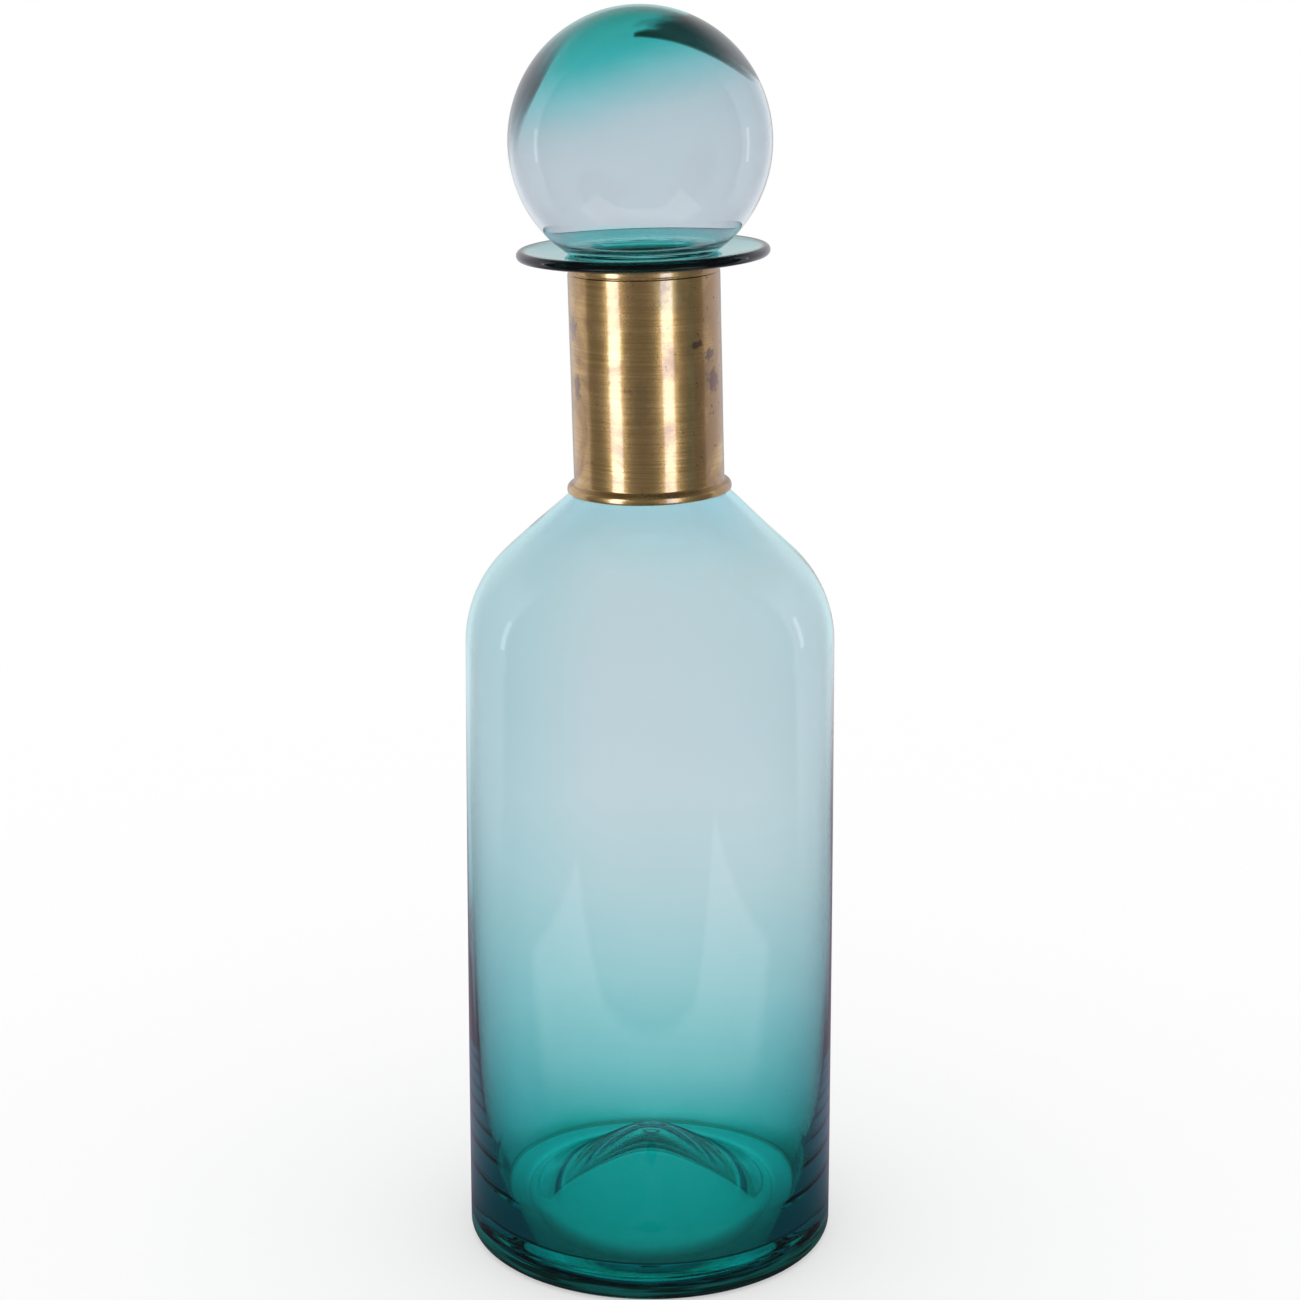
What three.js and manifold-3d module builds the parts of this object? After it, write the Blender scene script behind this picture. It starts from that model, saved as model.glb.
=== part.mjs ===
// Blown glass bottle with a hollow ball stopper and an aged brass collar, in millimetres, +Z up.
// The origin is on the table under the middle of the body.
import * as THREE from "three";
import { mergeVertices } from "three/addons/utils/BufferGeometryUtils.js";
import Module from "manifold-3d";

// Body of the bottle: a tall barrel, wider at the foot than at the shoulder
const footRadius = 65.1;
const shoulderRadius = 63.7;
const shoulderHeight = 218.7;
const shoulderArcRadius = 42.9;
const shoulderSlope = 47.2; // degrees from upright, where the arc runs out into a cone
const sideCurve = 1.6; // how late the side starts to draw in
const heelRadius = 4;
const footRingWidth = 11;

// Glass thickness: thin above, gathered towards the foot as the blown glass cooled
const bodyWall = 2.1;
const heelExtraWall = 10.7;
const heelWallReach = 27;
const floorThickness = 11;
const floorCornerRadius = 6;
const kickHeight = 20; // bell shaped kick-up of the floor
const kickRadius = 38;
const kickGlass = 8;

// Neck and dished lip
const neckRadius = 23.5;
const neckWall = 3.2;
const neckLength = 74.4;
const neckRootFillet = 4;
const neckBoreFillet = 6;
const lipRadius = 42.5;
const lipThickness = 3.5;
const lipRise = 1.9; // how far the rim stands above the flat seat
const lipSeatWidth = 4.5; // flat glass beyond the outside of the neck
const lipFillet = 1.1;
const mouthFillet = 1.6;
const neckLean = 1.5; // degrees, towards -X: the neck was set by eye
const bendLength = 17; // stretch of the cone that takes up the lean

// Brass collar: rolled sheet round the neck, closed by a soldered seam at the back
const collarBoreGap = 1.3;
const collarWall = 0.8;
const collarEndGap = 0.35;
const beadProjection = 2.4;
const beadHeight = 3.4;
const beadRound = 1.9;
const beadFillet = 1.2;
const hemHeight = 2.1;
const hemLineDepth = 0.25;
const hemLineWidth = 0.6;
const seamWidth = 1.6;
const seamGap = 0.3;
const beddingHeight = 8;
const beddingInset = 5;
const beddingGap = 0.3;

// Ball stopper: a hollow ball, taller than wide, with an open hollow stem
const ballRadius = 43.9;
const ballHalfHeight = 44.3;
const ballWall = 2.1;
const crownGlass = 9;
const seatRadius = 25.2;
const seatRound = 1.2;
const seatGap = 0.3;
const stopperFloor = 2.6;
const stemClearance = 0.9;
const stemTaper = 1;
const stemLength = 40;
const stemWall = 2.4;
const stemEndRound = 1.1;
const stemRootRound = 2.2;

// Facets: segments round the axis, and extra rings as shares of the side and of the cone
const roundSegments = 48;
const sideRings = [0.25, 0.5, 0.75];
const coneRings = [0.3, 0.6];

const wasm = await Module();
wasm.setup();

const point = (r, z) => new THREE.Vector2(r, z);

// Points of an upright ellipse about (r, z), from one angle to another in degrees
function arcPoints(r, z, radius, halfHeight, from, to, steps) {
  const points = [];
  for (let i = 0; i <= steps; i++) {
    const angle = THREE.MathUtils.degToRad(from + ((to - from) * i) / steps);
    points.push(point(r + radius * Math.cos(angle), z + halfHeight * Math.sin(angle)));
  }
  return points;
}

// One corner rounded by an arc that meets both legs, no longer than its shorter leg allows
function roundedCorner(before, corner, after, radius, steps = 3) {
  const toBefore = before.clone().sub(corner);
  const toAfter = after.clone().sub(corner);
  const halfTurn = (Math.PI - Math.abs(toBefore.angleTo(toAfter))) / 2;
  const longest = 0.49 * Math.min(toBefore.length(), toAfter.length());
  const tangent = Math.min(radius * Math.tan(halfTurn), longest);
  const start = corner.clone().addScaledVector(toBefore.normalize(), tangent);
  const end = corner.clone().addScaledVector(toAfter.normalize(), tangent);
  const middle = toBefore.add(toAfter).normalize();
  const centre = corner.clone().addScaledVector(middle, tangent / Math.sin(halfTurn));
  const reach = start.distanceTo(centre);
  const points = [];
  for (let i = 0; i <= steps; i++) {
    const onChord = start.clone().lerp(end, i / steps).sub(centre);
    points.push(centre.clone().addScaledVector(onChord.normalize(), reach));
  }
  return points;
}

// Bell shaped rise of the floor, from its edge at the given level to its top on the axis
function bellPoints(radius, level, height, steps) {
  const points = [];
  for (let i = 0; i <= steps; i++) {
    const r = radius * (1 - i / steps);
    points.push(point(r, level + (height * (1 + Math.cos((Math.PI * r) / radius))) / 2));
  }
  return points;
}

// Turned solid about Z: the outline runs up on its outer side
function turned(outline) {
  return new THREE.LatheGeometry(outline, roundSegments).rotateX(Math.PI / 2);
}

function toSolid(geometry) {
  const bare = geometry.clone();
  bare.deleteAttribute("normal");
  bare.deleteAttribute("uv");
  const merged = mergeVertices(bare, 1e-4);
  const triVerts = new Uint32Array(merged.index.array);
  const vertProperties = merged.attributes.position.array;
  return new wasm.Manifold(new wasm.Mesh({ numProp: 3, vertProperties, triVerts }));
}

function toGeometry(solid) {
  const { vertProperties, triVerts } = solid.getMesh();
  const geometry = new THREE.BufferGeometry();
  geometry.setAttribute("position", new THREE.BufferAttribute(vertProperties, 3));
  geometry.setIndex(new THREE.BufferAttribute(triVerts, 1));
  geometry.computeVertexNormals();
  return geometry;
}

const glass = { color: 0xa9c9ce, roughness: 0.04, metalness: 0, transparent: true, opacity: 0.5 };
const agedBrass = { color: 0x86683c, roughness: 0.36, metalness: 1 };
const solder = { color: 0x8d8574, roughness: 0.5, metalness: 1 };
const settingCement = { color: 0x6f675b, roughness: 0.9, metalness: 0 };

function piece(name, geometry, look) {
  const mesh = new THREE.Mesh(geometry, new THREE.MeshStandardMaterial(look));
  mesh.name = name;
  return mesh;
}

// Shared levels and radii
const slope = THREE.MathUtils.degToRad(shoulderSlope);
const shoulderArcCentre = shoulderRadius - shoulderArcRadius;
const coneTop = point(
  shoulderArcCentre + shoulderArcRadius * Math.cos(slope),
  shoulderHeight + shoulderArcRadius * Math.sin(slope),
);
const neckRootZ = coneTop.y + (coneTop.x - neckRadius) / Math.tan(slope);
const lipUnderZ = neckRootZ + neckLength;
const seatZ = lipUnderZ + lipThickness;
const boreRadius = neckRadius - neckWall;
const lipSeatRadius = neckRadius + lipSeatWidth;
const lean = THREE.MathUtils.degToRad(neckLean);
const bendStartZ = neckRootZ - bendLength;
const pivotZ = bendStartZ + bendLength / 2;

function sideRadius(z) {
  const share = Math.pow(z / shoulderHeight, sideCurve);
  return footRadius - (footRadius - shoulderRadius) * share;
}

function innerSideRadius(z) {
  const gathered = heelExtraWall * Math.exp((floorThickness - z) / heelWallReach);
  return sideRadius(z) - bodyWall - gathered;
}

// Outside of the bottle from the middle of its underside up to the lip's rim
function bottleOutside() {
  const ringInner = footRadius - heelRadius - footRingWidth;
  const kickUnderside = floorThickness + kickHeight - kickGlass;
  const outline = bellPoints(ringInner, 0, kickUnderside, 6).reverse();
  const heel = point(footRadius, 0);
  outline.push(...roundedCorner(point(ringInner, 0), heel, point(footRadius, shoulderHeight), heelRadius));
  for (const share of sideRings) {
    const z = shoulderHeight * share;
    outline.push(point(sideRadius(z), z));
  }
  const arc = shoulderArcRadius;
  outline.push(...arcPoints(shoulderArcCentre, shoulderHeight, arc, arc, 0, shoulderSlope, 5));
  const neckRoot = point(neckRadius, neckRootZ);
  outline.push(...coneRings.map((share) => coneTop.clone().lerp(neckRoot, share)));
  const neckTop = point(neckRadius, lipUnderZ);
  const lipUnder = point(lipSeatRadius, lipUnderZ);
  outline.push(...roundedCorner(coneTop, neckRoot, neckTop, neckRootFillet));
  outline.push(...roundedCorner(neckRoot, neckTop, lipUnder, lipFillet), lipUnder);
  const rimRadius = lipThickness / 2;
  const rimZ = seatZ + lipRise - rimRadius;
  outline.push(...arcPoints(lipRadius - rimRadius, rimZ, rimRadius, rimRadius, -90, 90, 5));
  return outline;
}

// Inside of the bottle from the seat on the lip down to the middle of the floor
function bottleInside() {
  const outline = [point(lipSeatRadius, seatZ)];
  const bore = boreRadius;
  const innerArc = shoulderArcRadius - bodyWall;
  const innerCone = point(
    shoulderArcCentre + innerArc * Math.cos(slope),
    shoulderHeight + innerArc * Math.sin(slope),
  );
  const boreFoot = point(bore, innerCone.y + (innerCone.x - bore) / Math.tan(slope));
  outline.push(...roundedCorner(point(lipSeatRadius, seatZ), point(bore, seatZ), boreFoot, mouthFillet));
  outline.push(...roundedCorner(point(bore, seatZ), boreFoot, innerCone, neckBoreFillet));
  outline.push(...coneRings.map((share) => innerCone.clone().lerp(boreFoot, share)).reverse());
  outline.push(...arcPoints(shoulderArcCentre, shoulderHeight, innerArc, innerArc, shoulderSlope, 0, 5));
  const wallSteps = 7;
  const wall = [];
  for (let i = wallSteps - 1; i >= 0; i--) {
    const z = floorThickness + (shoulderHeight - floorThickness) * Math.pow(i / wallSteps, 2);
    wall.push(point(innerSideRadius(z), z));
  }
  const corner = wall.pop();
  const floorEdge = point(kickRadius, floorThickness);
  outline.push(...wall);
  outline.push(...roundedCorner(wall.at(-1), corner, floorEdge, floorCornerRadius));
  outline.push(...bellPoints(kickRadius, floorThickness, kickHeight, 6));
  return outline;
}

// Turns everything above the bend about the pivot, easing in over the bend
function leanNeck(geometry) {
  const position = geometry.attributes.position;
  for (let i = 0; i < position.count; i++) {
    const eased = THREE.MathUtils.smoothstep(position.getZ(i), bendStartZ, bendStartZ + bendLength);
    const turn = -lean * eased;
    const x = position.getX(i);
    const z = position.getZ(i) - pivotZ;
    position.setX(i, x * Math.cos(turn) + z * Math.sin(turn));
    position.setZ(i, pivotZ - x * Math.sin(turn) + z * Math.cos(turn));
  }
  return geometry;
}

function glassBottle() {
  return leanNeck(turned([...bottleOutside(), ...bottleInside()]));
}

// Collar: a sleeve whose beaded foot follows the cone and whose top hem ends under the lip
const collarBore = neckRadius + collarBoreGap;
const collarRadius = collarBore + collarWall;
const collarTopZ = lipUnderZ - collarEndGap;
const footZ = (r) => neckRootZ - (r - neckRadius - collarEndGap / Math.cos(slope)) / Math.tan(slope);
const beadTopZ = footZ(collarRadius + beadProjection) + beadHeight;

function collarOutline() {
  const beadRadius = collarRadius + beadProjection;
  const footInner = point(collarBore, footZ(collarBore));
  const footOuter = point(beadRadius, footZ(beadRadius));
  const beadTop = point(beadRadius, beadTopZ);
  const waist = point(collarRadius, beadTopZ + beadFillet);
  const hemZ = collarTopZ - hemHeight;
  const outline = [footInner];
  outline.push(...roundedCorner(footInner, footOuter, beadTop, beadRound));
  outline.push(...roundedCorner(footOuter, beadTop, waist, beadRound));
  outline.push(...roundedCorner(beadTop, waist, point(collarRadius, hemZ), beadFillet, 2));
  outline.push(
    point(collarRadius, hemZ - hemLineWidth / 2),
    point(collarRadius - hemLineDepth, hemZ),
    point(collarRadius, hemZ + hemLineWidth / 2),
  );
  outline.push(point(collarRadius, collarTopZ), point(collarBore, collarTopZ), footInner);
  return outline;
}

// Upright slab behind the axis, wide enough to cut the collar right through at the back
function backSlab(width) {
  const depth = 2 * (collarRadius + beadProjection);
  const height = 2 * (collarTopZ - footZ(collarRadius + beadProjection) + collarWall);
  const slab = new THREE.BoxGeometry(width, depth, height);
  return toSolid(slab.translate(0, depth / 2, collarTopZ));
}

function brassCollar() {
  const whole = toSolid(turned(collarOutline()));
  return toGeometry(whole.subtract(backSlab(seamWidth + 2 * seamGap)));
}

function collarSeam() {
  const whole = toSolid(turned(collarOutline()));
  return toGeometry(whole.intersect(backSlab(seamWidth)));
}

// Ring of setting cement between the neck and the collar
function collarBedding(bottomZ) {
  const inner = neckRadius + beddingGap;
  const outer = collarBore - beddingGap;
  const topZ = bottomZ + beddingHeight;
  return turned([
    point(inner, bottomZ),
    point(outer, bottomZ),
    point(outer, topZ),
    point(inner, topZ),
    point(inner, bottomZ),
  ]);
}

// Stopper: the hollow is lower than the ball, which leaves the crown thick
function ballStopper() {
  const baseZ = seatZ + seatGap;
  const seatAngle = Math.acos(seatRadius / ballRadius);
  const centreZ = baseZ + ballHalfHeight * Math.sin(seatAngle);
  const hollowTop = centreZ + ballHalfHeight - crownGlass;
  const hollowBottom = centreZ - ballHalfHeight + ballWall;
  const hollowCentre = (hollowTop + hollowBottom) / 2;
  const hollowHalf = (hollowTop - hollowBottom) / 2;
  const hollowRadius = ballRadius - ballWall;
  const floorZ = baseZ + stopperFloor;
  const floorAngle = THREE.MathUtils.radToDeg(Math.asin((floorZ - hollowCentre) / hollowHalf));
  const stemTop = boreRadius - stemClearance;
  const stemEnd = stemTop - stemTaper;
  const endZ = baseZ - stemLength;
  const boreTop = point(stemTop - stemWall, floorZ);
  const boreEnd = point(stemEnd - stemWall, endZ);
  const seatEdge = point(seatRadius, baseZ);
  const seatDegrees = -THREE.MathUtils.radToDeg(seatAngle);
  const ball = arcPoints(0, centreZ, ballRadius, ballHalfHeight, seatDegrees, 90, 13);
  const hollow = arcPoints(0, hollowCentre, hollowRadius, hollowHalf, 90, floorAngle, 11);
  const stemRoot = point(stemTop, baseZ);
  const stemFoot = point(stemEnd, endZ);
  return turned([
    ...hollow,
    ...roundedCorner(hollow.at(-1), boreTop, boreEnd, stemRootRound),
    ...roundedCorner(boreTop, boreEnd, stemFoot, stemEndRound, 2),
    ...roundedCorner(boreEnd, stemFoot, stemRoot, stemEndRound, 2),
    stemRoot,
    ...roundedCorner(stemRoot, seatEdge, ball[1], seatRound, 2),
    ...ball.slice(1),
  ]);
}

// Assembly: everything above the shoulder leans with the neck
const leaningNeck = new THREE.Group();
leaningNeck.position.z = pivotZ;
leaningNeck.rotation.y = -lean;
const neckFrame = new THREE.Group();
neckFrame.position.z = -pivotZ;
leaningNeck.add(neckFrame);

neckFrame.add(
  piece("brass_collar", brassCollar(), agedBrass),
  piece("collar_seam", collarSeam(), solder),
  piece("collar_bedding_lower", collarBedding(beadTopZ + beddingInset), settingCement),
  piece("collar_bedding_upper", collarBedding(collarTopZ - beddingInset - beddingHeight), settingCement),
  piece("ball_stopper", ballStopper(), glass),
);

const bottleWithStopper = new THREE.Group();
bottleWithStopper.add(piece("glass_bottle", glassBottle(), glass), leaningNeck);

export default bottleWithStopper;
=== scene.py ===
import math

import bpy
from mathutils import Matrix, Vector, noise


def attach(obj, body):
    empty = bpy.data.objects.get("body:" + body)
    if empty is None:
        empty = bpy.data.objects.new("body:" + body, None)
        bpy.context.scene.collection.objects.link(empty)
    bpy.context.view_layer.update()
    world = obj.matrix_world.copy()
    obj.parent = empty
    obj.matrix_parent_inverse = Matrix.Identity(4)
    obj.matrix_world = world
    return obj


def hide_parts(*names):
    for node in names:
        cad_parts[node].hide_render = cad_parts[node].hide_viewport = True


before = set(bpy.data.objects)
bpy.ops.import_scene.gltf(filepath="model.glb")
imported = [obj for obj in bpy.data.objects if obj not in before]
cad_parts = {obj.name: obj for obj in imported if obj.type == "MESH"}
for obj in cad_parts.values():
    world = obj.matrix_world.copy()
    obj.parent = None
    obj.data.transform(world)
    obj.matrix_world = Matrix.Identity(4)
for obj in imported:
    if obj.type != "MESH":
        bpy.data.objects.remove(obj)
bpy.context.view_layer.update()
scene = bpy.context.scene
scene.view_settings.view_transform = "Standard"
scene.cycles.max_bounces = 32  # clear glass seen through clear glass
scene.cycles.transmission_bounces = 32
scene.cycles.glossy_bounces = 16
print("frame loaded:", ", ".join(sorted(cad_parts)))

mm = 0.001


def millimetres(values):
    return [value * mm for value in values]


# Outline helpers: every outline is a list of (radius, height) in millimetres

def arcPoints(r, z, radius, halfHeight, start, end, steps):
    points = []
    for i in range(steps + 1):
        angle = math.radians(start + (end - start) * i / steps)
        points.append((r + radius * math.cos(angle), z + halfHeight * math.sin(angle)))
    return points


def straightPoints(first, last, steps):  # the run between two points, without its ends
    return [
        (first[0] + (last[0] - first[0]) * i / steps, first[1] + (last[1] - first[1]) * i / steps)
        for i in range(1, steps)
    ]


def roundedCorner(before, corner, after, radius, steps=8):
    before, corner, after = Vector(before), Vector(corner), Vector(after)
    toBefore = before - corner
    toAfter = after - corner
    halfTurn = (math.pi - toBefore.angle(toAfter)) / 2
    longest = 0.49 * min(toBefore.length, toAfter.length)  # under half of either side
    tangent = min(radius * math.tan(halfTurn), longest)
    start = corner + toBefore.normalized() * tangent
    end = corner + toAfter.normalized() * tangent
    middle = (toBefore.normalized() + toAfter.normalized()).normalized()
    centre = corner + middle * (tangent / math.sin(halfTurn))
    reach = (start - centre).length
    points = []
    for i in range(steps + 1):
        spoke = (start.lerp(end, i / steps) - centre).normalized()
        points.append(tuple(centre + spoke * reach))
    return points


def kickPoints(radius, level, height, blunt, flare, steps):  # a blunt cone, from its flared edge to its top
    steepness = height / (math.hypot(radius, blunt) - blunt)
    reach = radius + 3 * flare / steepness  # where the flare has all but died out
    points = []
    for i in range(steps + 1):
        r = reach * (1 - i / steps)
        line = height - steepness * (math.hypot(r, blunt) - blunt)
        points.append((r, level + flare * math.log(1 + math.exp(line / flare))))
    return points


def smoothStep(value, low, high):
    share = min(max((value - low) / (high - low), 0), 1)
    return share * share * (3 - 2 * share)


# Turns an outline about Z. place(r, z, angle, ring) gives each point, so a piece can be uneven.
def turnedMesh(name, outline, place, segments, arc=None):
    verts = []
    rings = []
    span = (0, 2 * math.pi) if arc is None else arc
    count = segments if arc is None else segments + 1
    for ring, (r, z) in enumerate(outline):
        first = len(verts)
        if r < 1e-6:  # a point on the axis
            verts.append(place(0, z, 0, ring))
            rings.append([first] * (segments + 1))
            continue
        for k in range(count):
            angle = span[0] + (span[1] - span[0]) * k / segments
            verts.append(place(r, z, angle, ring))
        row = list(range(first, first + count))
        rings.append(row + row[:1] if arc is None else row)
    pairs = list(zip(rings, rings[1:]))
    if arc is not None:
        pairs.append((rings[-1], rings[0]))
    faces = []
    for low, high in pairs:
        for k in range(segments):
            corners = [low[k], low[k + 1], high[k + 1], high[k]]
            face = [c for i, c in enumerate(corners) if c != corners[i - 1]]
            faces.append(face)
    if arc is not None:  # flat ends of an open turn
        faces.append([row[0] for row in rings])
        faces.append([row[-1] for row in reversed(rings)])
    mesh = bpy.data.meshes.new(name)
    mesh.from_pydata([tuple(v * mm for v in p) for p in verts], [], faces)
    mesh.validate()
    mesh.shade_smooth()
    piece = bpy.data.objects.new(name, mesh)
    scene.collection.objects.link(piece)
    return piece


# Node helpers

def link(tree, source, target):
    tree.links.new(source, target)


def setInputs(node, **values):
    for key, value in values.items():
        node.inputs[key.replace("_", " ")].default_value = value
    return node


def newNode(tree, kind, **values):
    node = tree.nodes.new(kind)
    for key, value in values.items():
        if hasattr(node, key):
            setattr(node, key, value)
        else:
            setInputs(node, **{key: value})
    return node


def mathNode(tree, operation, first, second=None, third=None):
    node = newNode(tree, "ShaderNodeMath", operation=operation)
    for socket, value in zip(node.inputs, (first, second, third)):
        if value is None:
            continue
        if isinstance(value, (int, float)):
            socket.default_value = value
        else:
            link(tree, value, socket)
    return node.outputs[0]


def times(tree, first, *others):
    for other in others:
        first = mathNode(tree, "MULTIPLY", first, other)
    return first


def vectorNode(tree, operation, first, second=None):
    node = newNode(tree, "ShaderNodeVectorMath", operation=operation)
    link(tree, first, node.inputs[0])
    if second is not None:
        node.inputs[1].default_value = second
    return node.outputs["Value" if operation in ("LENGTH", "DISTANCE") else "Vector"]


def splitXYZ(tree, vector):
    node = newNode(tree, "ShaderNodeSeparateXYZ")
    link(tree, vector, node.inputs[0])
    return node.outputs["X"], node.outputs["Y"], node.outputs["Z"]


def joinXYZ(tree, *values):
    node = newNode(tree, "ShaderNodeCombineXYZ")
    for socket, value in zip(node.inputs, values):
        link(tree, value, socket)
    return node.outputs[0]


def objectPlace(tree):  # a point in the object's own space
    return newNode(tree, "ShaderNodeTexCoord").outputs["Object"]


def noiseNode(tree, place, **values):
    node = newNode(tree, "ShaderNodeTexNoise", **values)
    link(tree, place, node.inputs["Vector"])
    return node


def drawnOut(tree, place, scale):  # scaled by axis, so that noise there turns to streaks
    node = newNode(tree, "ShaderNodeMapping", Scale=scale)
    link(tree, place, node.inputs["Vector"])
    return node.outputs[0]


def rampNode(tree, value, stops, interpolation="EASE"):
    node = newNode(tree, "ShaderNodeValToRGB")
    ramp = node.color_ramp
    ramp.interpolation = interpolation
    while len(ramp.elements) < len(stops):
        ramp.elements.new(0.5)
    for element, (place, colour) in zip(ramp.elements, stops):
        element.position = place
        element.color = (*colour, 1)
    link(tree, value, node.inputs["Fac"])
    return node.outputs["Color"]


def rangeNode(tree, value, fromLow, fromHigh, toLow, toHigh):
    node = newNode(tree, "ShaderNodeMapRange", interpolation_type="SMOOTHSTEP",
                   From_Min=fromLow, From_Max=fromHigh, To_Min=toLow, To_Max=toHigh)
    link(tree, value, node.inputs["Value"])
    return node.outputs[0]


def mixColour(tree, factor, first, second, blend="MIX"):
    node = newNode(tree, "ShaderNodeMix", data_type="RGBA", blend_type=blend)
    for socket, value in ((node.inputs[0], factor), (node.inputs[6], first), (node.inputs[7], second)):
        if isinstance(value, (int, float)):
            socket.default_value = value
        elif isinstance(value, tuple):
            socket.default_value = (*value, 1)
        else:
            link(tree, value, socket)
    return node.outputs[2]


def grey(level):
    return (level,) * 3


def newMaterial(name):
    material = bpy.data.materials.new(name)
    material.use_nodes = True
    tree = material.node_tree
    tree.nodes.clear()
    output = newNode(tree, "ShaderNodeOutputMaterial")
    shader = newNode(tree, "ShaderNodeBsdfPrincipled")
    link(tree, shader.outputs[0], output.inputs["Surface"])
    return material, tree, shader


def addBump(tree, shader, height, strength, depth):
    bump = newNode(tree, "ShaderNodeBump", Strength=strength, Distance=depth)
    link(tree, height, bump.inputs["Height"])
    link(tree, bump.outputs[0], shader.inputs["Normal"])


def newGroup(name, inputs, outputs):
    tree = bpy.data.node_groups.new(name, "ShaderNodeTree")
    for label, default in inputs.items():
        socket = tree.interface.new_socket(label, in_out="INPUT", socket_type="NodeSocketFloat")
        socket.default_value = default
    for label in outputs:
        tree.interface.new_socket(label, in_out="OUTPUT", socket_type="NodeSocketFloat")
    return tree, newNode(tree, "NodeGroupInput"), newNode(tree, "NodeGroupOutput")


def placeGroup(tree, group, **values):
    return setInputs(newNode(tree, "ShaderNodeGroup", node_tree=group), **values)


# Streaks of blown glass: slow upright swirls that shift the colour and ripple the surface
def makeBlownStreaks():
    tree, given, result = newGroup(
        "blownStreaks", {"Scale": 20.0, "Upright": 0.25, "Amount": 0.01}, ["Sway", "Ripple"])
    x, y, z = splitXYZ(tree, objectPlace(tree))
    drawn = joinXYZ(tree, x, y, times(tree, z, given.outputs["Upright"]))
    swirl = noiseNode(tree, drawn, Detail=2.0, Roughness=0.45, Distortion=0.6)
    link(tree, given.outputs["Scale"], swirl.inputs["Scale"])
    centred = mathNode(tree, "SUBTRACT", swirl.outputs["Fac"], 0.5)
    link(tree, times(tree, centred, given.outputs["Amount"]), result.inputs["Sway"])
    link(tree, swirl.outputs["Fac"], result.inputs["Ripple"])
    return tree


blownStreaks = makeBlownStreaks()


# The thick floor and its kick are deeper in colour than the wall at that height; the round of the heel is
# darker still where it is looked into, painted shade for the shadowed floor under the foot, in streaks
def addFootTintAndHeelShade(tree, place, entering, tint, floor, heel):
    x, y, z = splitXYZ(tree, place)
    reach = vectorNode(tree, "LENGTH", joinXYZ(tree, x, y))
    within = rangeNode(tree, reach, *millimetres(floor["within"]), 1, 0)
    low = mathNode(tree, "LESS_THAN", z, floor["below"] * mm)
    onKick = rangeNode(tree, reach, *millimetres(floor["kickWithin"]), 1, 0)
    deepTint = mixColour(tree, onKick, floor["colour"], floor["kick"])
    tint = mixColour(tree, times(tree, within, low), tint, deepTint)
    # painted shade: the round of the heel, darkened where it is looked into
    outer = rangeNode(tree, reach, *millimetres(heel["beyond"]), 0, 1)
    foot = rangeNode(tree, z, *millimetres(heel["below"]), 1, 0)
    drawn = drawnOut(tree, place, heel["streakDraw"])
    threads = noiseNode(tree, drawn, Scale=heel["streakScale"], Detail=2.0)
    streaked = rangeNode(tree, threads.outputs["Fac"], *heel["streakFrom"], heel["streakLeast"], 1)
    return mixColour(tree, times(tree, outer, entering, streaked, foot), tint, heel["colour"], "MULTIPLY")


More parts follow.
